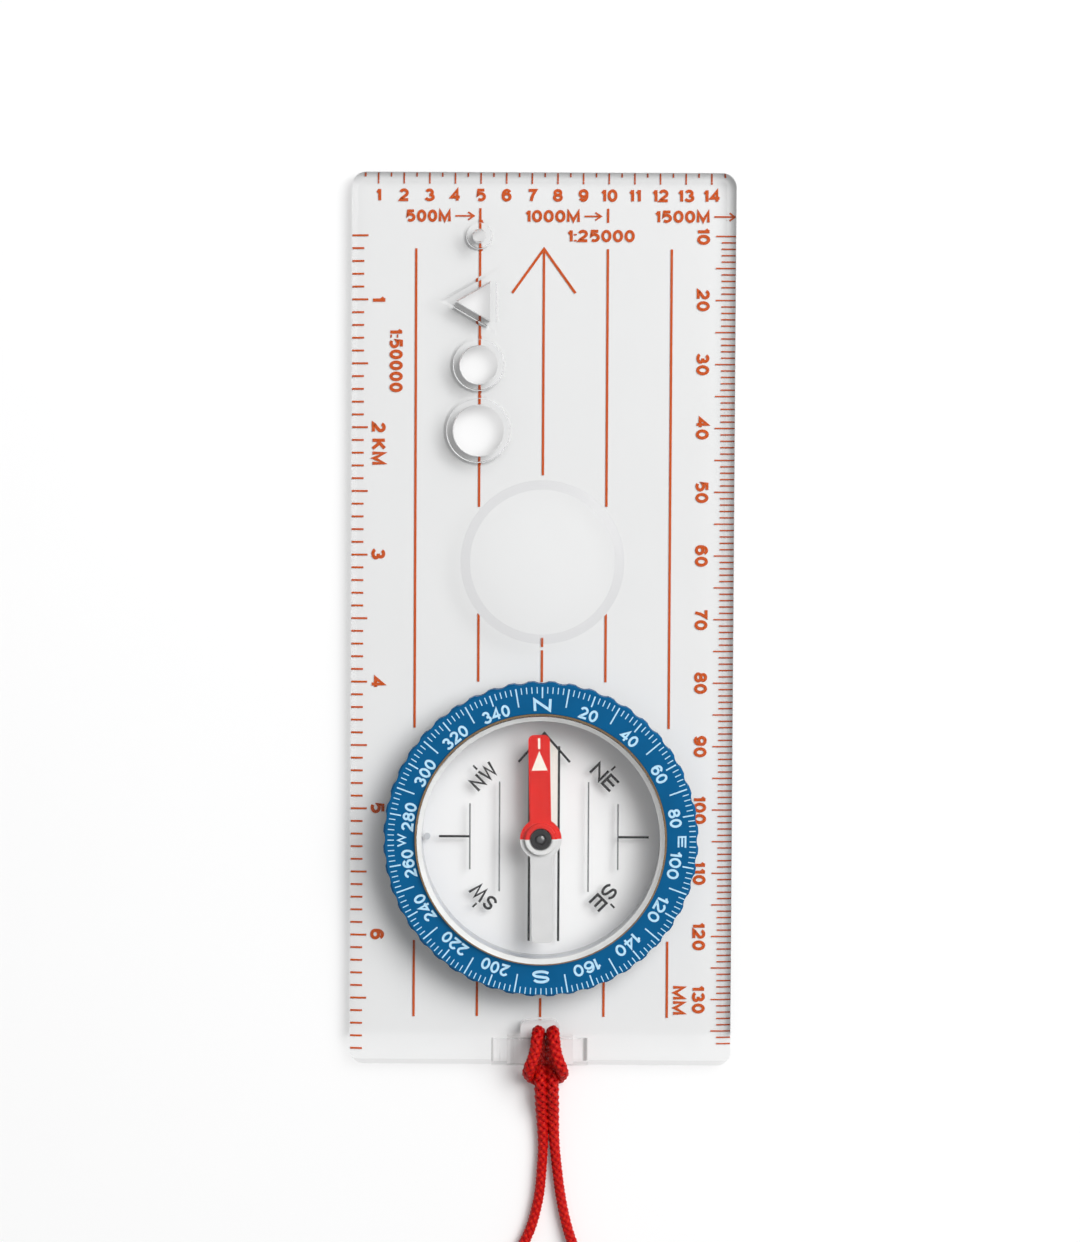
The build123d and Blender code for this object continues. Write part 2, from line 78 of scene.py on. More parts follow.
class Finish:
    """A node material with a Principled shader, and the few patterns that the finishes share."""

    def __init__(self, name, roughness, **sockets):
        self.material = bpy.data.materials.new(name)
        self.material.use_nodes = True
        self.tree = self.material.node_tree
        self.shader = self.tree.nodes["Principled BSDF"]
        self.output = self.tree.nodes["Material Output"]
        self.place = self.node("ShaderNodeTexCoord").outputs["Object"]
        self.shader.inputs["Roughness"].default_value = roughness
        for socket, value in sockets.items():
            self.shader.inputs[socket.replace("_", " ")].default_value = value

    def node(self, kind, **settings):
        made = self.tree.nodes.new(kind)
        for name, value in settings.items():
            setattr(made, name, value)
        return made

    def link(self, source, target):
        self.tree.links.new(source, target)

    def noise(self, size_mm, detail=3.0, place=None):
        """Soft noise from 0 to 1 whose blotches are about size_mm across."""
        noise = self.node("ShaderNodeTexNoise")
        noise.inputs["Scale"].default_value = 1 / (size_mm * MM)
        noise.inputs["Detail"].default_value = detail
        self.link(place or self.place, noise.inputs["Vector"])
        return noise.outputs["Fac"]

    def spread(self, factor, low, high, from_low=0.3, from_high=0.7):
        """Runs from low to high while factor runs from from_low to from_high."""
        stretch = self.node("ShaderNodeMapRange")
        stretch.inputs["From Min"].default_value = from_low
        stretch.inputs["From Max"].default_value = from_high
        stretch.inputs["To Min"].default_value = low
        stretch.inputs["To Max"].default_value = high
        self.link(factor, stretch.inputs["Value"])
        return stretch.outputs["Result"]

    def mix(self, factor, first, second):
        """Colour that goes from first to second with factor. Each is a colour or a socket."""
        blend = self.node("ShaderNodeMix", data_type="RGBA")
        self.link(factor, blend.inputs["Factor"])
        for socket, colour in ((blend.inputs[6], first), (blend.inputs[7], second)):
            if isinstance(colour, tuple):
                socket.default_value = colour
            else:
                self.link(colour, socket)
        return blend.outputs[2]

    def math(self, operation, first, second=None):
        """Maths on one or two values. Each is a number or a socket."""
        step = self.node("ShaderNodeMath", operation=operation)
        for socket, value in zip(step.inputs, (first, second)):
            if isinstance(value, (int, float)):
                socket.default_value = value
            elif value is not None:
                self.link(value, socket)
        return step.outputs["Value"]

    def both(self, first, second):
        """Product of two factors."""
        return self.math("MULTIPLY", first, second)

    def either(self, first, second):
        """The larger of two factors."""
        return self.math("MAXIMUM", first, second)

    def vector(self, operation, source, value=(0.0, 0.0, 0.0)):
        """Vector maths on a socket and a constant."""
        step = self.node("ShaderNodeVectorMath", operation=operation)
        step.inputs[1].default_value = value
        self.link(source, step.inputs[0])
        gives_value = operation in ("DISTANCE", "LENGTH", "DOT_PRODUCT")
        return step.outputs["Value" if gives_value else "Vector"]

    def parts(self, source):
        """The X, Y and Z of a vector, by those names."""
        split = self.node("ShaderNodeSeparateXYZ")
        self.link(source, split.inputs["Vector"])
        return split.outputs

    def from_dial_centre(self):
        """Place on the part, from the dial's axis."""
        return self.vector("SUBTRACT", self.place, (0.0, dial_centre_y * MM, 0.0))

    def colour(self, source):
        self.link(source, self.shader.inputs["Base Color"])

    def mottled(self, colour, size_mm, amount):
        """Base colour that varies softly by amount round colour."""
        darker = (*[c * (1 - amount) for c in colour[:3]], 1.0)
        lighter = (*[min(1.0, c * (1 + amount)) for c in colour[:3]], 1.0)
        return self.mix(self.spread(self.noise(size_mm), 0.0, 1.0), darker, lighter)

    def rough(self, low, high, size_mm):
        self.link(self.spread(self.noise(size_mm), low, high), self.shader.inputs["Roughness"])

    def bump(self, height, depth_mm):
        """Fine relief of that depth from a height from 0 to 1."""
        relief = self.node("ShaderNodeBump")
        relief.inputs["Distance"].default_value = depth_mm * MM
        self.link(height, relief.inputs["Height"])
        self.link(relief.outputs["Normal"], self.shader.inputs["Normal"])
        return self

    def lets_lamps_through(self, flat, steep, trapped, with_bar=False):
        """
        Lamp light passes the surface instead of being bent. A level face passes the share flat, and a
        face that slopes away from the ray less, down to steep. Light that would leave the plastic by
        an upright face passes only the share trapped, as the rest is mirrored back.
        """
        surface = self.node("ShaderNodeNewGeometry")
        level = self.math("ABSOLUTE", self.parts(surface.outputs["Normal"])["Z"])
        slant = self.node("ShaderNodeLayerWeight")
        slant.inputs["Blend"].default_value = 0.5
        sloped = self.spread(slant.outputs["Facing"], flat, steep, from_low=0.25, from_high=0.65)
        entering = self.math("SUBTRACT", 1.0, surface.outputs["Backfacing"])
        upright = self.math("ADD", self.both(entering, sloped), trapped)
        upright = self.math("MINIMUM", upright, sloped)
        passed = self.node("ShaderNodeMix", data_type="FLOAT")
        self.link(self.spread(level, 0.0, 1.0, from_low=0.2), passed.inputs["Factor"])
        self.link(upright, passed.inputs["A"])
        self.link(sloped, passed.inputs["B"])
        share = passed.outputs["Result"]
        path = self.node("ShaderNodeLightPath")
        straight = self.either(path.outputs["Is Shadow Ray"], path.outputs["Is Diffuse Ray"])
        if with_bar:
            share, straight = self.over_bar(share, straight)
        film = self.node("ShaderNodeBsdfTransparent")
        self.link(share, film.inputs["Color"])
        choice = self.node("ShaderNodeMixShader")
        self.link(straight, choice.inputs["Fac"])
        self.link(self.shader.outputs["BSDF"], choice.inputs[1])
        self.link(film.outputs["BSDF"], choice.inputs[2])
        self.link(choice.outputs["Shader"], self.output.inputs["Surface"])

    def over_bar(self, share, straight):
        """
        The share of light that passes and how straight it goes, with the bridge bar's own values: all
        of the bar passes nearly all, its nose bends nothing beside the channel, and the cord in the
        channel shows with less bending.
        """
        passed_by_bar, straight_to_cord = 0.93, 0.72
        spot = self.parts(self.place)
        front = bar_front_y * MM
        behind = self.spread(spot["Y"], 1.0, 0.0, front, front + MM)
        aside = self.math("GREATER_THAN", self.math("ABSOLUTE", spot["X"]), channel_edge_x * MM)
        on_nose = self.math("LESS_THAN", spot["Y"], bar_nose_y * MM)
        over_cord = self.both(self.math("SUBTRACT", behind, aside), straight_to_cord)
        share = self.either(share, self.both(behind, passed_by_bar))
        return share, self.either(straight, self.either(self.both(aside, on_nose), over_cord))


clear_ripple = {"size_mm": 14, "amount": 0.006}


def clear_plastic(name, tint, flat, steep, trapped, gloss=0.5, with_bar=False):
    """Moulded clear acrylic: faint flow ripple, slightly uneven polish."""
    finish = Finish(name, 0.03, Transmission_Weight=1.0, IOR=1.49, Specular_IOR_Level=gloss)
    finish.shader.inputs["Specular Tint"].default_value = (0.3, 0.3, 0.3, 1.0)
    finish.colour(finish.mottled(tint, **clear_ripple))
    finish.rough(0.015, 0.05, size_mm=5)
    finish.bump(finish.noise(size_mm=9, detail=1.0), depth_mm=0.012)
    finish.lets_lamps_through(flat, steep, trapped, with_bar)
    return finish


def shade_plate(finish, tint, flank_shade, bar_shade):
    """Plate tint, with painted shade: a darker tint on the sloped flank round the magnifier, which is also
    rough, and darker stripes on the bridge bar, for the shade cast where they bend the light.
    """
    flank_edge, face_margin = 0.15, 0.05
    smooth, rough = 0.03, 0.22
    streak_size, streak_run = 1.7, (-1.0, 0.06, 0.3)
    spot = finish.parts(finish.place)
    over_plan = finish.vector("MULTIPLY", finish.place, (1.0, 1.0, 0.0))
    from_lens = finish.vector("DISTANCE", over_plan, (0.0, lens_centre_y * MM, 0.0))
    inside = finish.spread(from_lens, 0.0, 1.0, lens_rim * MM, (lens_rim + flank_edge) * MM)
    outside = finish.spread(from_lens, 1.0, 0.0, (lens_foot - flank_edge) * MM, lens_foot * MM)
    on_top = finish.math("GREATER_THAN", spot["Z"], (plate_top - face_margin) * MM)
    flank = finish.both(finish.both(inside, outside), on_top)
    # Painted shade: stretched noise stripes of a darker tint on the bar's top stand for the shade bands
    # that its refraction casts.
    streaks = finish.noise(streak_size, 2.0, finish.vector("MULTIPLY", finish.place, streak_run))
    streaks = finish.spread(streaks, 0.0, 1.0, from_low=0.45, from_high=0.58)
    raised = finish.math("GREATER_THAN", spot["Z"], (plate_top + face_margin) * MM)
    behind = finish.math("LESS_THAN", spot["Y"], bar_front_y * MM)
    on_bar = finish.both(finish.both(raised, behind), streaks)
    plain = finish.mix(on_bar, finish.mottled(tint, **clear_ripple), bar_shade)
    # Painted shade: the flank round the magnifier takes the darker tint.
    finish.colour(finish.mix(flank, plain, flank_shade))
    finish.link(finish.spread(flank, smooth, rough, 0.0, 1.0), finish.shader.inputs["Roughness"])


def moulded(name, colour, roughness, grain_mm=0.35, depth_mm=0.012, amount=0.06, **sockets):
    """Opaque moulded plastic with a fine grain."""
    finish = Finish(name, roughness, **sockets)
    finish.colour(finish.mottled(colour, size_mm=3.5, amount=amount))
    finish.rough(roughness * 0.85, roughness * 1.2, size_mm=1.6)
    finish.bump(finish.noise(grain_mm, detail=2.0), depth_mm)
    return finish.material


def printed(name, colour, amount=0.08):
    """Screen print: matt ink of slightly uneven density."""
    finish = Finish(name, 0.55, Specular_IOR_Level=0.25)
    finish.colour(finish.mottled(colour, size_mm=0.5, amount=amount))
    finish.bump(finish.noise(size_mm=0.12, detail=2.0), depth_mm=0.004)
    return finish.material


def metal(name, colour, roughness, grain_mm):
    """Drawn or turned metal with fine uneven polish."""
    finish = Finish(name, roughness, Metallic=1.0)
    finish.colour(finish.mottled(colour, size_mm=0.6, amount=0.1))
    finish.rough(roughness * 0.7, roughness * 1.4, grain_mm)
    finish.bump(finish.noise(grain_mm, detail=2.0), depth_mm=0.003)
    return finish.material


needle_lean = math.radians(1.3)


def needle_enamel(name, north, south, roughness):
    """Enamel that changes colour across the needle's middle."""
    finish = Finish(name, roughness, Specular_IOR_Level=0.12)
    way_north = (-math.sin(needle_lean), math.cos(needle_lean), 0.0)
    along = finish.vector("DOT_PRODUCT", finish.from_dial_centre(), way_north)
    is_north = finish.math("GREATER_THAN", along, 0.0)
    north_half = finish.mottled(north, size_mm=2.0, amount=0.06)
    south_half = finish.mottled(south, size_mm=2.0, amount=0.03)
    finish.colour(finish.mix(is_north, south_half, north_half))
    finish.rough(roughness * 0.8, roughness * 1.25, size_mm=0.8)
    finish.bump(finish.noise(size_mm=0.5, detail=2.0), depth_mm=0.006)
    return finish.material


def jewel_glass():
    """Dark polished stone, domed a little where the bush's window shows it."""
    window_radius, dome_depth = 0.6, 0.14
    finish = Finish("jewel_glass", 0.05, Specular_IOR_Level=1.0)
    finish.colour(finish.mottled(srgb(14, 20, 26), size_mm=0.5, amount=0.05))
    finish.rough(0.03, 0.1, size_mm=0.3)
    per_radius = 1 / (window_radius * MM)
    out = finish.vector("MULTIPLY", finish.from_dial_centre(), (per_radius, per_radius, 0.0))
    dome = finish.math("SUBTRACT", 1.0, finish.math("POWER", finish.vector("LENGTH", out), 2.0))
    return finish.bump(dome, dome_depth).material


def yarn(name, crown_highlight, colour, shade):
    """
    Twisted filament yarn: fine streaks along each strand, painted shade down between the strands and a
    painted highlight on the crown where a strand passes over. The attribute lay holds how far along and
    across the strand a place lies, and its height from 0 to 1.
    """
    finish = Finish(name, 0.45, Specular_IOR_Level=0.2)
    lay = finish.node("ShaderNodeAttribute", attribute_name="lay").outputs["Vector"]
    streaks = finish.noise(1 / MM, 2.0, lay)
    height = finish.math("ADD", finish.parts(lay)["Z"], finish.spread(streaks, -0.12, 0.12))
    # Painted shade between the strands, then a painted highlight on each crown.
    body = finish.mix(finish.spread(height, 0.0, 1.0, 0.0, 0.4), shade, colour)
    finish.colour(finish.mix(finish.spread(height, 0.0, 1.0, 0.7, 1.1), body, crown_highlight))
    finish.bump(streaks, depth_mm=0.03)
    return finish.material


plate_tint, capsule_tint = (0.985, 0.99, 0.99, 1.0), (1.0, 1.0, 1.0, 1.0)
# Painted shade: a darker tint for the magnifier's flank, and another in stripes on the bridge bar.
flank_shade_tint, bar_shade_tint = (0.84, 0.84, 0.855, 1.0), (0.22, 0.215, 0.215, 1.0)
plate_plastic = clear_plastic(
    "clear_acrylic", plate_tint, flat=0.945, steep=0.5, trapped=0.15, with_bar=True
)
shade_plate(plate_plastic, plate_tint, flank_shade_tint, bar_shade_tint)
capsule_plastic = clear_plastic(
    "capsule_acrylic", capsule_tint, flat=1.0, steep=0.8, trapped=0.7, gloss=0.12
)
blue_plastic = moulded("blue_plastic", srgb(4, 86, 134), 0.45, Specular_IOR_Level=0.12)
milky_plastic = moulded("milky_plastic", srgb(202, 204, 207), 0.3)
# Pale seam: a glue line, and painted light standing in for the bright clear capsule wall.
seam_glue_and_wall_light = moulded("seam_glue_and_wall_light", srgb(226, 227, 226), 0.5, Specular_IOR_Level=0.2)
black_plastic = moulded("black_plastic", srgb(16, 15, 18), 0.4, Specular_IOR_Level=0.2)
black_band = moulded("black_band", srgb(30, 30, 33), 0.55, grain_mm=0.25, depth_mm=0.03)
brass = metal("brass", srgb(122, 102, 80), 0.3, grain_mm=0.4)
steel = metal("steel", srgb(190, 192, 196), 0.22, grain_mm=0.2)
needle_red = srgb(218, 24, 14)
blade_enamel = needle_enamel("blade_enamel", needle_red, srgb(214, 214, 214), 0.38)
hub_enamel = needle_enamel("hub_enamel", needle_red, srgb(222, 222, 221), 0.3)
red_print = printed("red_print", srgb(198, 78, 6))
black_print = printed("black_print", srgb(26, 27, 29))
grey_print = printed("grey_print", srgb(118, 120, 122))
pale_print = printed("pale_print", srgb(182, 220, 242))
white_print = printed("white_print", srgb(248, 240, 226), 0.03)
glow_print = printed("glow_print", srgb(240, 241, 233), 0.03)
cord_yarn = yarn("cord_yarn", crown_highlight=srgb(226, 46, 16), colour=srgb(180, 4, 6), shade=srgb(134, 0, 6))

node_finishes = {
    "baseplate": plate_plastic.material,
    "bezel_ring": blue_plastic,
    "retaining_ring": blue_plastic,
    "capsule_base": capsule_plastic.material,
    "capsule_cover": capsule_plastic.material,
    "fill_plug": milky_plastic,
    "capsule_ring": brass,
    "pivot_pin": steel,
    "needle_blade": blade_enamel,
    "needle_hub": hub_enamel,
    "needle_bush": black_plastic,
    "jewel": jewel_glass(),
    "coil_tie": black_band,
}
for node, finish_material in node_finishes.items():
    for place in nodes[node].material_slots:
        place.material = finish_material


def add_piece(name, corners, faces, material, body, smooth=False):
    """Mesh piece of one finish, which rides a body."""
    mesh = bpy.data.meshes.new(name)
    mesh.from_pydata(corners, [], faces)
    mesh.polygons.foreach_set("use_smooth", [smooth] * len(mesh.polygons))
    mesh.materials.append(material)
    mesh.update()
    made = bpy.data.objects.new(name, mesh)
    bpy.context.scene.collection.objects.link(made)
    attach(made, body)
    return made


# ---- printed marks -----------------------------------------------------------------------------
def oval(x, y, across, up, start=0, end=360, count=16):
    """Points on an oval about (x, y), from start to end degrees, anticlockwise where end is larger."""
    points = []
    for step in range(count + 1):
        angle = math.radians(start + (end - start) * step / count)
        points.append((x + across * math.cos(angle), y + up * math.sin(angle)))
    return points


def half_round(points):
    """The same strokes turned upside down."""
    return [(1 - x, 1 - y) for x, y in points]


# Plain stroke letters. Each has its width, in capital heights, and its strokes in a 1 by 1 box.
SIX = [oval(0.5, 0.32, 0.5, 0.32, 0, 360), oval(0.53, 0.5, 0.53, 0.5, 190, 35, 10)]
LETTERS = {
    "0": (0.66, [oval(0.5, 0.5, 0.5, 0.5)]),
    "1": (0.36, [[(1.0, -0.08), (1.0, 1.08)], [(0.0, 0.72), (0.55, 0.84), (0.95, 1.03)]]),
    "2": (0.66, [oval(0.48, 0.7, 0.47, 0.3, 165, -38, 10) + [(0.1, 0.1), (0.0, 0.0), (1.08, 0.0)]]),
    "3": (
        0.66,
        [oval(0.46, 0.74, 0.42, 0.26, 160, -90, 10), oval(0.46, 0.26, 0.54, 0.26, 90, -165, 10)],
    ),
    "4": (0.7, [[(0.74, -0.08), (0.74, 1.0), (0.0, 0.28), (1.08, 0.28)]]),
    "5": (0.66, [[(0.98, 1.0), (0.16, 1.0), (0.06, 0.54)] + oval(0.45, 0.33, 0.55, 0.33, 118, -128, 10)]),
    "6": (0.66, SIX),
    "7": (0.64, [[(-0.05, 1.0), (1.0, 1.0), (0.55, 0.48), (0.33, -0.08)]]),
    "8": (0.66, [oval(0.5, 0.76, 0.42, 0.24), oval(0.5, 0.27, 0.5, 0.27)]),
    "9": (0.66, [half_round(stroke) for stroke in SIX]),
    ":": (0.16, [[(0.5, -0.08), (0.5, 0.08)], [(0.5, 0.55), (0.5, 0.71)]]),
    " ": (0.2, []),
    "E": (0.66, [[(1.08, 1.0), (0.0, 1.0), (0.0, 0.0), (1.08, 0.0)], [(0.0, 0.52), (1.0, 0.52)]]),
    "K": (0.72, [[(0.0, -0.08), (0.0, 1.08)], [(0.98, 1.06), (0.0, 0.35)], [(0.3, 0.6), (1.02, -0.06)]]),
    "M": (0.84, [[(0.0, -0.08), (0.0, 1.0), (0.5, 0.05), (1.0, 1.0), (1.0, -0.08)]]),
    "N": (0.74, [[(0.0, -0.08), (0.0, 1.0), (1.0, 0.0), (1.0, 1.08)]]),
    "S": (
        0.68,
        [oval(0.5, 0.745, 0.45, 0.255, 15, 240, 12)[:-1] + oval(0.5, 0.26, 0.5, 0.26, 55, -165, 12)],
    ),
    "W": (1.06, [[(0.0, 1.08), (0.25, 0.0), (0.5, 1.0), (0.75, 0.0), (1.0, 1.08)]]),
}
letter_gap = 0.1
letter_breadth = 1.18
layer_rise, layer_count = 0.0004, 37
closing_gap = 1e-6
sharpest_mitre = 0.45


def set_words(words, height, length, weight):
    """
    Strokes of a line of text and their width: middle at x = 0, foot on y = 0. The text is as long as
    length, or as long as it comes where that is None. weight is the stroke's share of the height.
    """
    widths = [LETTERS[letter][0] * letter_breadth for letter in words]
    natural = sum(widths) + letter_gap * (len(words) - 1)
    stretch = length / height / natural if length else 1.0
    stroke = weight * height
    at = -natural * stretch * height / 2
    strokes = []
    for letter, width in zip(words, widths):
        room = width * stretch * height
        left, foot = at + stroke / 2, stroke / 2
        for line in LETTERS[letter][1]:
            strokes.append([(left + x * (room - stroke), foot + y * (height - stroke)) for x, y in line])
        at += room + letter_gap * stretch * height
    return strokes, stroke


class Ink:
    """Flat marks of one ink, gathered in millimetres and made into one piece."""

    def __init__(self):
        self.corners = []
        self.faces = []

    def face(self, corners):
        """A flat mark. Each lies a hair over the one before, so that no two share a plane."""
        first = len(self.corners)
        rise = layer_rise * (len(self.faces) % layer_count)
        self.corners += [(*corner, rise) for corner in corners]
        self.faces.append(tuple(range(first, first + len(corners))))

    def line(self, start, end, width):
        """Straight line of a given width."""
        run = Vector(end) - Vector(start)
        side = Vector((-run.y, run.x)).normalized() * width / 2
        ends = [Vector(start) + side, Vector(start) - side, Vector(end) - side, Vector(end) + side]
        self.face([tuple(corner) for corner in ends])

    def path(self, points, width):
        """Line through several points, mitred at the corners. It closes where it ends at its start."""
        closed = math.dist(points[0], points[-1]) < closing_gap
        count = len(points) - closed
        rim = {1: [], -1: []}
        for here in range(count):
            at = Vector(points[here])
            after = Vector(points[(here + 1) % count])
            before = Vector(points[(here - 1) % count])
            into = (at - before).normalized() if here or closed else (after - at).normalized()
            out = (after - at).normalized() if here < count - 1 or closed else into
            mitre = Vector((-(into.y + out.y), into.x + out.x)).normalized()
            reach = width / 2 / max(sharpest_mitre, mitre.dot(Vector((-into.y, into.x))))
            for side in rim:
                rim[side].append(tuple(at + mitre * reach * side))
        for here in range(count if closed else count - 1):
            after = (here + 1) % count
            self.face([rim[1][here], rim[-1][here], rim[-1][after], rim[1][after]])

    def text(self, words, centre, height, turn=0.0, length=None, weight=0.235):
        """Text whose middle is at centre, turned anticlockwise by turn degrees."""
        strokes, width = set_words(words, height, length, weight)
        cos_turn, sin_turn = math.cos(math.radians(turn)), math.sin(math.radians(turn))
        for stroke in strokes:
            self.path(
                [
                    (
                        centre[0] + x * cos_turn - (y - height / 2) * sin_turn,
                        centre[1] + x * sin_turn + (y - height / 2) * cos_turn,
                    )
                    for x, y in stroke
                ],
                width,
            )

    def arc_text(self, words, bearing, foot_radius, height, length, weight):
        """Text round the dial, tops outward, its middle at bearing, degrees clockwise from north."""
        strokes, width = set_words(words, height, length, weight)
        for stroke in strokes:
            places = []
            for x, y in stroke:
                around = math.radians(bearing) + x / (foot_radius + height / 2)
                places.append(((foot_radius + y) * math.sin(around), (foot_radius + y) * math.cos(around)))
            self.path(places, width)

    def piece(self, name, body, slot, material, height, centre=(0.0, 0.0), turn=0.0):
        """The marks as one object, height metres up, about centre and turned by turn radians."""
        cos_turn, sin_turn = math.cos(turn), math.sin(turn)
        places = [
            (
                (centre[0] + x * cos_turn - y * sin_turn) * MM,
                (centre[1] + x * sin_turn + y * cos_turn) * MM,
                height + rise * MM,
            )
            for x, y, rise in self.corners
        ]
        made = add_piece(name, places, self.faces, material, body)
        for polygon in made.data.polygons:
            if polygon.normal.z < 0:
                polygon.flip()


# plate: two map scales, a millimetre scale, a half-centimetre scale and the direction lines
edge_gap = 0.3


def print_direction_lines(ink):
    """Five lines along the plate, each in pieces that leave room for marks and forms, and the arrow."""
    tip, shoulder, half_width = 58.2, 51.3, 4.95
    line_width, arrow_width = 0.37, 0.4
    line_gap = 10
    ink.path([(-half_width, shoulder), (0, tip), (half_width, shoulder)], arrow_width)
    below_lens = lens_centre_y - math.sqrt(lens_foot**2 - line_gap**2)
    middle = [(tip, 22.8), (-2.5, -4.2), (-4.7, -9.7), (-59.7, -62.7)]
    left = [(64.5, 61.2), (59.0, 52.1), (47.7, 43.1), (36.9, 33.85), (25.65, 17.8), (below_lens, -9.7)]
    left.append((-54.5, -62.6))
    right = [(64.5, 62.3), (tip, 17.9), (below_lens, -9.7), (-54.4, -62.6)]
    far = [(tip, -17.0), (-50.6, -62.7)]
    for place, pieces in ((0, middle), (-1, left), (1, right), (-2, far), (2, far)):
        x = place * line_gap
        for start, end in pieces:
            ink.line((x, start), (x, end), line_width)


def print_left_scale(ink):
    """Kilometres at 1:50000: a tick every 2 mm, longer at every fifth."""
    edge = -plate_half_width + edge_gap
    zero, step, ticks = 60.2, 2, 65
    long_end, short_end, tick_width = -27.5, -28.15, 0.3
    for count in range(ticks):
        y = zero - step * count
        ink.line((edge, y), (short_end if count % 5 else long_end, y), tick_width)
    column = -25.8
    for words, y, length in (
        ("1", 50.3, None),
        ("2 KM", 27.65, 6.7),
        ("3", 10.3, None),
        ("4", -9.85, None),
        ("5", -29.7, None),
        ("6", -49.7, None),
    ):
        ink.text(words, (column, y), height=2.2, turn=-90, length=length)
    ink.text("1:50000", (-23.1, 40.7), height=2.1, turn=-90, length=10.0)


def print_right_scale(ink):
    """Millimetres from 10 to 137, with longer ticks at fives and tens."""
    edge = plate_half_width - edge_gap
    zero, first, last = 70.27, 10, 137
    long_start, short_start, tick_width = 26.9, 27.8, 0.22
    for value in range(first, last + 1):
        y = zero - value
        ink.line((short_start if value % 5 else long_start, y), (edge, y), tick_width)
    column, height = 24.97, 2.05
    for value in range(first, last, 10):
        ink.text(str(value), (column, zero - value), height, turn=-90)
    ink.text("MM", (21.9, -59.9), height, turn=-90, length=4.6)


def print_front_scale(ink):
    """Half centimetres at 1:25000 along the front edge, with the distances in metres below."""
    edge = plate_half_length - edge_gap
    first, step, ticks = -27.95, 2.005, 29
    long_end, short_end, tick_width = 68.3, 69.0, 0.24
    for count in range(ticks):
        x = first + step * count
        ink.line((x, edge), (x, long_end if count % 2 else short_end), tick_width)
    for number in range(1, ticks // 2 + 1):
        ink.text(str(number), (first + step * (2 * number - 1), 66.55), height=2.0)
    row, height = 63.3, 1.95
    gap, head, half_head, stroke = 0.7, 0.9, 0.6, 0.26
    for words, start, end, tip in (
        ("500M", -21.65, -14.6, -11.0),
        ("1000M", -3.0, 5.6, 8.9),
        ("1500M", 17.3, 25.9, 29.5),
    ):
        ink.text(words, ((start + end) / 2, row), height, length=end - start)
        ink.line((end + gap, row), (tip, row), stroke)
        ink.path([(tip - head, row + half_head), (tip, row), (tip - head, row - half_head)], stroke)
    ink.text("1:25000", (8.9, 60.25), height, length=10.6)


# dial: degree ticks and bearings on the bezel, orienting lines on the capsule's floor
def on_bearing(radius, bearing):
    """Place at a radius from the dial's middle, bearing in degrees clockwise from north."""
    return radius * math.sin(math.radians(bearing)), radius * math.cos(math.radians(bearing))


def print_bearings(ink):
    """A tick every 2 degrees, longer at the tens, and the bearings and letters that stand inside."""
    outer, fine_inner, plain_inner, long_inner = 24.05, 23.05, 22.3, 21.15
    fine, bold = 0.15, 0.22
    for bearing in range(0, 360, 2):
        inner, width = fine_inner, fine
        if bearing % 20 == 0 and bearing != 180:
            inner, width = plain_inner, bold
        elif bearing % 10 == 0 and bearing not in (90, 180, 270):
            inner, width = long_inner, bold
        ink.line(on_bearing(inner, bearing), on_bearing(outer, bearing), width)
    digit_foot, digit_height, digit_room, digit_gap = 20.12, 1.9, 1.49, 0.05
    for bearing in range(20, 360, 20):
        if bearing != 180:
            length = digit_room * len(str(bearing)) - digit_gap
            ink.arc_text(str(bearing), bearing, digit_foot, digit_height, length, weight=0.19)
    for letter, bearing, foot, height, length, weight in (
        ("N", 0, 20.25, 2.05, 2.8, 0.205),
        ("S", 180, 20.25, 2.05, 2.8, 0.205),
        ("E", 90, 21.2, 1.35, 1.8, 0.2),
        ("W", 270, 21.2, 1.35, 2.05, 0.18),
    ):
        ink.arc_text(letter, bearing, foot, height, length, weight)


def print_orienting_arrow(ink):
    """The arrow that the needle is brought over, the cross lines and the letters between them."""
    half_gap, north_end, south_end = 2.32, 14.3, -16.45
    apex, leg_x, leg_y = 16.35, 4.03, 11.78
    cross_start, cross_end = 11.7, 16.5
    bold, fine = 0.36, 0.3
    for side in (-1, 1):
        ink.line((side * half_gap, south_end), (side * half_gap, north_end), bold)
    ink.path([(-leg_x, leg_y), (0, apex), (leg_x, leg_y)], bold)
    for side in (-1, 1):
        ink.line((side * cross_start, 0), (side * cross_end, 0), bold)
    letter_radius, dash_start, dash_end = 13.4, 14.9, 15.8
    for words, bearing in (("NW", -45), ("NE", 45), ("SE", 135), ("SW", 225)):
        place = on_bearing(letter_radius, bearing)
        ink.text(words, place, height=2.35, turn=-bearing, length=4.6, weight=0.175)
        ink.line(on_bearing(dash_start, bearing), on_bearing(dash_end, bearing), fine)


def print_meridians(ink):
    """Two fine lines on each side of the arrow."""
    width = 0.24
    for half_gap, half_length in ((11.64, 5.2), (6.99, 8.65)):
        for side in (-1, 1):
            ink.line((side * half_gap, -half_length), (side * half_gap, half_length), width)


def print_glow_strip(ink):
    """The pale arrow between the orienting lines."""
    half_width, south, shoulder, tip = 2.15, 1.2, 14.0, 16.1
    foot = [(-half_width, south), (half_width, south)]
    ink.face([*foot, (half_width, shoulder), (0, tip), (-half_width, shoulder)])


def print_needle_mark(ink):
    """The white triangle and dash at the needle's north end."""
    half_width, foot, tip = 1.25, 10.75, 13.8
    dash_start, dash_end, dash_width = 14.1, 15.8, 0.36
    ink.face([(-half_width, foot), (half_width, foot), (0, tip)])
    ink.line((0, dash_start), (0, dash_end), dash_width)


def gathered(*drawings):
    """Ink with the marks of these drawings."""
    ink = Ink()
    for draw in drawings:
        draw(ink)
    return ink


def print_plate():
    """Red marks on the plate's underside, read through it. They lie a hair inside."""
    ink = gathered(print_direction_lines, print_left_scale, print_right_scale, print_front_scale)
    ink.piece("plate_print", "baseplate", "clear_plastic", red_print, 0.03 * MM)


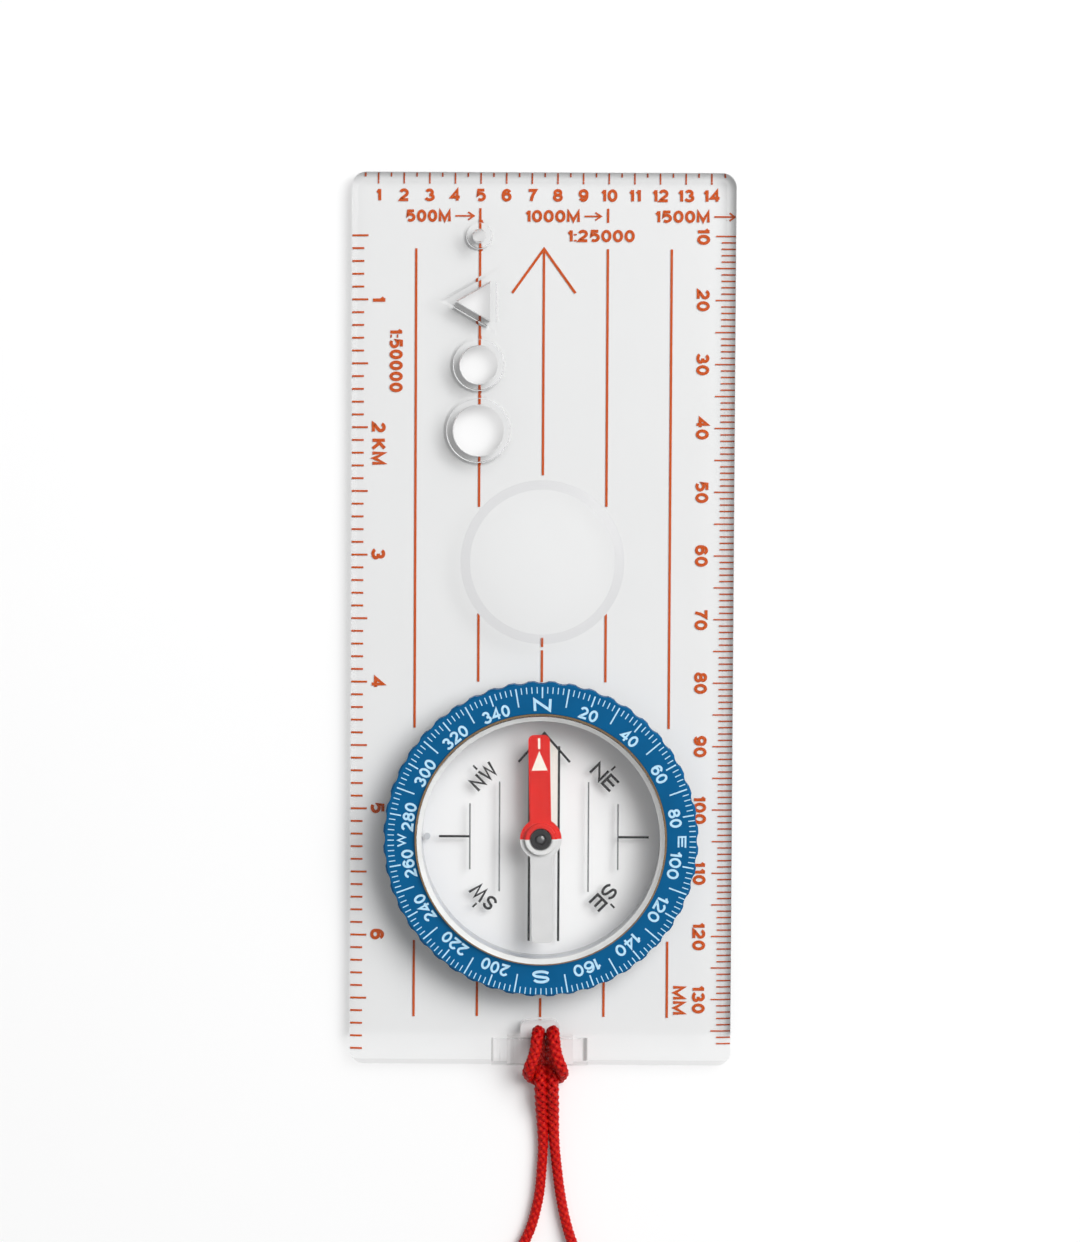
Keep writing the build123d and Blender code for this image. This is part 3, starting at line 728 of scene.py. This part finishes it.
def print_dial():
    """Marks on the bezel and on the capsule's floor, each set a little off centre, as in the photo."""
    bezel_print_centre = (0.15, dial_centre_y - 0.2)
    floor_print_centre = (0.45, dial_centre_y)
    bezel_top = bezel_high.z + 0.01 * MM
    floor_top = (capsule_floor_top + 0.02) * MM
    gathered(print_bearings).piece(
        "bearing_print", "dial", "blue_plastic", pale_print, bezel_top, bezel_print_centre
    )
    for draw, name, paint, height in (
        (print_orienting_arrow, "orienting_print", black_print, floor_top + 0.02 * MM),
        (print_meridians, "meridian_print", grey_print, floor_top),
        (print_glow_strip, "glow_print", glow_print, floor_top),
    ):
        gathered(draw).piece(name, "dial", "clear_plastic", paint, height, floor_print_centre)


def print_needle():
    """White mark on the needle's red end."""
    centre = (0, dial_centre_y)
    needle_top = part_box("needle_blade")[1].z + 0.01 * MM
    ink = gathered(print_needle_mark)
    ink.piece("needle_print", "needle", "needle_paint", white_print, needle_top, centre, needle_lean)


def make_seam():
    """Pale glued seam between the capsule's base and its cover: a ring that slopes up and outwards. Its
    pale colour is also painted light, for the brightness of the clear capsule wall.
    """
    sides = 144
    rings = ((18.58, 7.005), (18.85, 7.14), (19.08, 7.3), (19.27, 7.45))
    corners, faces = [], []
    for radius, height in rings:
        for side in range(sides):
            angle = 2 * math.pi * side / sides
            place = (radius * math.cos(angle), dial_centre_y + radius * math.sin(angle), height)
            corners.append(tuple(value * MM for value in place))
    for ring in range(len(rings) - 1):
        for side in range(sides):
            after = (side + 1) % sides
            first, second = ring * sides, (ring + 1) * sides
            faces.append((first + side, second + side, second + after, first + after))
    add_piece("capsule_seam", corners, faces, seam_glue_and_wall_light, "dial", smooth=True)


print_plate()
print_dial()
make_seam()
print_needle()


# ---- neck cord ---------------------------------------------------------------------------------
cord_diameter = 0.0017
hitch_x = 0.0009

# Left half of the hitch, from under the bridge bar up and over it to the bight; x is from hitch_x.
hitch_half = [
    (-0.00092, -0.0698, 0.00108),
    (-0.00100, -0.0647, 0.00110),
    (-0.00132, -0.0647, 0.00490),
    (-0.00155, -0.0677, 0.00490),
    (-0.00275, -0.0706, 0.00490),
    (-0.00265, -0.0717, 0.00200),
    (-0.00155, -0.0728, 0.00108),
]
bight = (hitch_x, -0.0728, 0.00108)

left_part = [
    (0.00017, -0.0723, 0.00295),
    (0.00020, -0.0743, 0.00295),
    (0.00038, -0.0779, 0.00113),
    (0.00054, -0.0810, 0.00110),
    (0.00058, -0.0830, 0.00105),
    (0.00040, -0.0866, 0.00105),
    (0.00000, -0.0915, 0.00105),
    (-0.0016, -0.0976, 0.00105),
    (-0.0054, -0.1034, 0.00105),
    (-0.0110, -0.1076, 0.00105),
    (-0.0166, -0.1120, 0.00105),
    (-0.0197, -0.1193, 0.00150),
    (-0.0197, -0.1243, 0.00150),
]
right_part = [
    (0.00202, -0.0723, 0.00295),
    (0.00201, -0.0743, 0.00295),
    (0.00209, -0.0779, 0.00113),
    (0.00222, -0.0810, 0.00110),
    (0.00238, -0.0830, 0.00105),
    (0.00276, -0.0866, 0.00105),
    (0.0034, -0.0915, 0.00105),
    (0.0045, -0.0966, 0.00105),
    (0.0063, -0.1012, 0.00140),
    (0.0077, -0.1052, 0.00257),
    (0.0077, -0.1084, 0.00257),
    (0.0077, -0.1122, 0.00257),
]
link_part = [
    (0.0077, -0.1243, 0.00365),
    (0.0077, -0.1223, 0.00365),
    (0.0077, -0.1187, 0.00257),
    (0.0077, -0.1167, 0.00257),
    (0.0077, -0.1129, 0.00257),
]

coil_centre = (-0.006, -0.126)
coil_radius = 0.0137
coil_pitch = 0.00215
coil_low, coil_high = 0.0015, 0.00365
half_turns = 8
half_turn_steps = 8


def half_turn(centre_x, radius, start, low, high):
    """Control points of half a turn anticlockwise from the angle start, without its end."""
    stretch = 1 / math.cos(math.pi / half_turn_steps / 2)
    points = []
    for step in range(half_turn_steps):
        share = (step + 0.5) / half_turn_steps
        angle = start + math.pi * share
        points.append(
            (
                centre_x + radius * stretch * math.cos(angle),
                coil_centre[1] + radius * stretch * math.sin(angle),
                low + (high - low) * share,
            )
        )
    return points


def coil_part():
    """Spirals in on the low layer from the west, climbs through the south, spirals out above."""
    points = []
    for turn in range(half_turns):
        north = turn % 2
        centre_x = coil_centre[0] + north * coil_pitch / 2
        radius = coil_radius - turn * coil_pitch / 2
        points += half_turn(centre_x, radius, 0 if north else math.pi, coil_low, coil_low)
    inner = coil_radius - half_turns * coil_pitch / 2
    points += half_turn(coil_centre[0], inner, math.pi, coil_low, coil_high)
    for turn in range(1, half_turns + 1):
        north = turn % 2
        centre_x = coil_centre[0] - north * coil_pitch / 2
        radius = inner + turn * coil_pitch / 2
        points += half_turn(centre_x, radius, 0 if north else math.pi, coil_high, coil_high)
    return points


def smooth_line(points):
    """Points of the smooth line that has these control points."""
    curve = bpy.data.curves.new("route", "CURVE")
    curve.dimensions = "3D"
    spline = curve.splines.new("NURBS")
    spline.points.add(len(points) - 1)
    for point, place in zip(spline.points, points):
        point.co = (*place, 1.0)
    spline.order_u = 3
    spline.use_endpoint_u = True
    spline.resolution_u = 16
    holder = bpy.data.objects.new("route", curve)
    mesh = bpy.data.meshes.new_from_object(holder)
    line = np.array([vertex.co for vertex in mesh.vertices], dtype=float)
    bpy.data.objects.remove(holder)
    bpy.data.curves.remove(curve)
    bpy.data.meshes.remove(mesh)
    return line


def evenly(line, spacing):
    """The line's points again, about spacing apart, and how far along each lies."""
    along = np.concatenate([[0], np.cumsum(np.linalg.norm(np.diff(line, axis=0), axis=1))])
    count = max(2, round(along[-1] / spacing) + 1)
    at = np.linspace(0, along[-1], count)
    return np.stack([np.interp(at, along, line[:, axis]) for axis in range(3)], axis=1), at


def carried_frames(line):
    """Two cross directions at each point, turned as little as possible on the way."""
    tangents = np.gradient(line, axis=0)
    tangents /= np.linalg.norm(tangents, axis=1, keepdims=True)
    first = np.cross(tangents[0], (0.0, 0.0, 1.0))
    across = first / np.linalg.norm(first)
    rows = []
    for tangent in tangents:
        across = across - tangent * tangent.dot(across)
        across /= np.linalg.norm(across)
        rows.append(across)
    across = np.array(rows)
    return across, np.cross(tangents, across)


braid_strands = 4
braid_step = 1.25 * MM
braid_samples = 4
strand_half_width = 0.42 * MM
strand_half_height = 0.26 * MM
braid_radius = 0.6 * MM
braid_wave = 0.13 * MM
strand_section = ((-1, -0.35), (-0.55, 0.85), (0.55, 0.85), (1, -0.35))
core_sides, core_step = 6, 1.6 * MM
# The attribute lay: per metre along a strand, from its middle to its edge, and from strand to strand.
lay_along, lay_across, lay_apart = 700, 2.2, 7.3
# Thickness at millimetres from the bight: bunched where the hitch grips the ends, thin where they part.
plain_fullness = ((0, 0.95),)
hitch_fullness = ((0, 1.05), (12, 1.05), (15, 1.18), (27, 1.18), (34, 0.84), (44, 0.84), (56, 0.95))


def ring_faces(first, rings, sides):
    """Faces of a tube of rings, each of so many corners, and of its two flat ends."""
    faces = []
    for ring in range(rings - 1):
        here = first + ring * sides
        for side in range(sides):
            beside = (side + 1) % sides
            faces.append((here + side, here + beside, here + sides + beside, here + sides + side))
    faces.append(tuple(first + side for side in reversed(range(sides))))
    last = first + (rings - 1) * sides
    faces.append(tuple(last + side for side in range(sides)))
    return faces


def braid_strand(points, along, across, upward, fuller, way, strand):
    """Rings of corners of one strand that winds one way (1 or -1), and what lay says at each."""
    turn = 2 * math.pi * along / (braid_step * braid_strands)
    wave = way * np.cos(turn * braid_strands)
    angle = 2 * math.pi * strand / braid_strands + way * turn
    radial = across * np.cos(angle)[:, None] + upward * np.sin(angle)[:, None]
    centre = points + radial * ((braid_radius + braid_wave * wave) * fuller)[:, None]
    sideways = np.cross(np.gradient(centre, axis=0), radial)
    sideways /= np.linalg.norm(sideways, axis=1, keepdims=True)
    number = strand + braid_strands * (way > 0)
    rings, lays = [], []
    for x, z in strand_section:
        rings.append(centre + sideways * (x * strand_half_width) + radial * (z * strand_half_height))
        beside = np.full_like(along, lay_across * x + lay_apart * number)
        lays.append(np.stack([along * lay_along, beside, (0.5 + 0.5 * wave) * (z > 0)], axis=1))
    return np.stack(rings, axis=1).reshape(-1, 3), np.stack(lays, axis=1).reshape(-1, 3)


def braid_core(line):
    """Rings of corners of the plain core that keeps the braid from being seen through."""
    points = evenly(line, core_step)[0]
    across, upward = carried_frames(points)
    angles = [2 * math.pi * side / core_sides for side in range(core_sides)]
    rings = [
        points + (across * math.cos(angle) + upward * math.sin(angle)) * braid_radius for angle in angles
    ]
    return len(points), np.stack(rings, axis=1).reshape(-1, 3)


def braid(name, line, fullness):
    """
    Braided cord along a line: strands that run both ways round a core, each over one and under one.
    fullness gives its thickness, 1 for full, at some distances from its start in millimetres.
    """
    points, along = evenly(line, braid_step / braid_samples)
    across, upward = carried_frames(points)
    fuller = np.interp(along / MM, *zip(*fullness))
    corners, lays, faces = [], [], []
    sides = len(strand_section)
    for way in (1, -1):
        for strand in range(braid_strands):
            rings, lay = braid_strand(points, along, across, upward, fuller, way, strand)
            faces += ring_faces(len(corners) * len(rings), len(points), sides)
            corners.append(rings)
            lays.append(lay)
    core_length, core = braid_core(line)
    faces += ring_faces(len(corners) * len(corners[0]), core_length, core_sides)
    corners, lays = np.concatenate([*corners, core]), np.concatenate([*lays, core * 0])
    made = add_piece(name, corners.tolist(), faces, cord_yarn, "baseplate", smooth=True)
    lay = made.data.attributes.new("lay", "FLOAT_VECTOR", "POINT")
    lay.data.foreach_set("vector", lays.ravel())
    return made


def placed(points, side):
    """Hitch points on one side of the hitch's middle: 1 is the left, as written, and -1 the right."""
    return [(hitch_x + side * x, y, z) for x, y, z in points]


long_route = [bight] + placed(reversed(hitch_half), 1) + left_part[:-1] + coil_part() + link_part
short_route = [bight] + placed(reversed(hitch_half), -1) + right_part
long_line = smooth_line(long_route)
short_line = smooth_line(short_route)
long_cord = braid("cord_long_end", long_line, hitch_fullness)
short_cord = braid("cord_short_end", short_line, hitch_fullness)

# Barrel knot: the cord wound round both ends.
knot_x, knot_z = 0.0077, 0.00257
knot_rear, knot_front = -0.1167, -0.1084
knot_turns, knot_steps = 4, 14
knot_radius = 0.00255 - cord_diameter / 2
knot_tuck, knot_end_gap = 0.45, 0.0003


def knot_route():
    """A close helix whose ends tuck in under its turns."""
    points = []
    total = knot_turns * knot_steps
    stretch = 1 / math.cos(math.pi / knot_steps)
    start = knot_rear + cord_diameter / 2 + knot_end_gap
    end = knot_front - cord_diameter / 2 - knot_end_gap
    for step in range(total + 1):
        share = step / total
        angle = 2 * math.pi * step / knot_steps
        near_end = min(step, total - step) / (knot_steps / 4)
        radius = knot_radius * stretch * (knot_tuck + (1 - knot_tuck) * min(1.0, near_end))
        points.append(
            (
                knot_x + radius * math.cos(angle),
                start + (end - start) * share,
                knot_z + radius * math.sin(angle),
            )
        )
    return points


knot = braid("knot_wraps", smooth_line(knot_route()), plain_fullness)

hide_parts("lanyard_hitch", "lanyard_left", "lanyard_coil", "lanyard_link")
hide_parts("lanyard_right")
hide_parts("lanyard_knot")


# ---- floor, lamps and camera -------------------------------------------------------------------
def seen_rays(owner):
    """1 for rays that show the background: from the camera, mirrored, or through clear plastic."""
    path = owner.node("ShaderNodeLightPath")
    seen = owner.either(path.outputs["Is Camera Ray"], path.outputs["Is Glossy Ray"])
    return owner.either(seen, path.outputs["Is Transmission Ray"])


def make_floor():
    """Plain white table, a touch brighter to the eye than its lamps make it, and white far off."""
    white, reach, drop = 0.9, 3.0, 0.0001
    near, far, near_glow, far_glow = 0.15, 2.0, 0.06, 1.0
    finish = Finish("floor", 0.9, Specular_IOR_Level=0.0)
    finish.colour(finish.mottled((white, white, white, 1.0), size_mm=60, amount=0.004))
    finish.shader.inputs["Emission Color"].default_value = (1.0, 1.0, 1.0, 1.0)
    glow = finish.spread(finish.vector("LENGTH", finish.place), near_glow, far_glow, near, far)
    finish.link(finish.both(seen_rays(finish), glow), finish.shader.inputs["Emission Strength"])
    mesh = bpy.data.meshes.new("floor")
    corners = [(-reach, -reach, 0), (reach, -reach, 0), (reach, reach, 0), (-reach, reach, 0)]
    mesh.from_pydata(corners, [], [(0, 1, 2, 3)])
    floor = bpy.data.objects.new("floor", mesh)
    floor.location.z = -drop
    floor.data.materials.append(finish.material)
    bpy.context.scene.collection.objects.link(floor)


class WorldTree(Finish):
    """The same helpers on the world's nodes."""

    def __init__(self, world):
        world.use_nodes = True
        self.tree = world.node_tree
        self.background = self.tree.nodes["Background"]


def make_world():
    """White to the eye. For the light it gives and its mirror image, dim overhead and paler low down."""
    low, overhead = 0.38, 0.08
    world = bpy.data.worlds.new("studio")
    bpy.context.scene.world = world
    sky = WorldTree(world)
    sky.background.inputs["Color"].default_value = (1.0, 1.0, 1.0, 1.0)
    height = sky.parts(sky.node("ShaderNodeTexCoord").outputs["Generated"])["Z"]
    ambient = sky.spread(height, low, overhead, from_low=0.2, from_high=0.95)
    sky.link(sky.either(ambient, seen_rays(sky)), sky.background.inputs["Strength"])


def lamp(name, place, size, power, mirrored=True):
    """Square soft box at place, turned to the compass. It shows in glossy faces where mirrored."""
    aim = Vector((0.0, -0.01, 0.0)) - Vector(place)
    data = bpy.data.lights.new(name, "AREA")
    data.size = size
    data.energy = power
    made = bpy.data.objects.new(name, data)
    made.location = place
    made.visible_glossy = mirrored
    made.rotation_euler = aim.to_track_quat("-Z", "Y").to_euler()
    bpy.context.scene.collection.objects.link(made)


def make_camera():
    """The photograph's view: almost straight down, a little tilted, from half a metre up."""
    place = (0.003921, 0.018672, 0.500568)
    tilts = (2.1487, -0.5, -0.2964)
    about_x, about_y, about_z = (
        Matrix.Rotation(math.radians(tilt), 3, axis) for tilt, axis in zip(tilts, "XYZ")
    )
    turned = (about_x @ about_y @ about_z).transposed()
    data = bpy.data.cameras.new("camera")
    data.lens = 92.178
    data.sensor_width = 36.0
    data.clip_start, data.clip_end = 0.01, 20.0
    camera = bpy.data.objects.new("camera", data)
    camera.matrix_world = Matrix.Translation(place) @ turned.to_4x4()
    bpy.context.scene.collection.objects.link(camera)
    bpy.context.scene.camera = camera


make_floor()
make_world()
key_place, fill_place = (0.865, 0.606, 1.31), (-0.3, -0.2, 1.7)
lamp("key", key_place, size=1.35, power=26.5, mirrored=False)
lamp("key_glint", key_place, size=0.8, power=9.5)
lamp("fill", fill_place, size=1.2, power=2.0)
make_camera()
bpy.context.scene.view_settings.view_transform = "Standard"
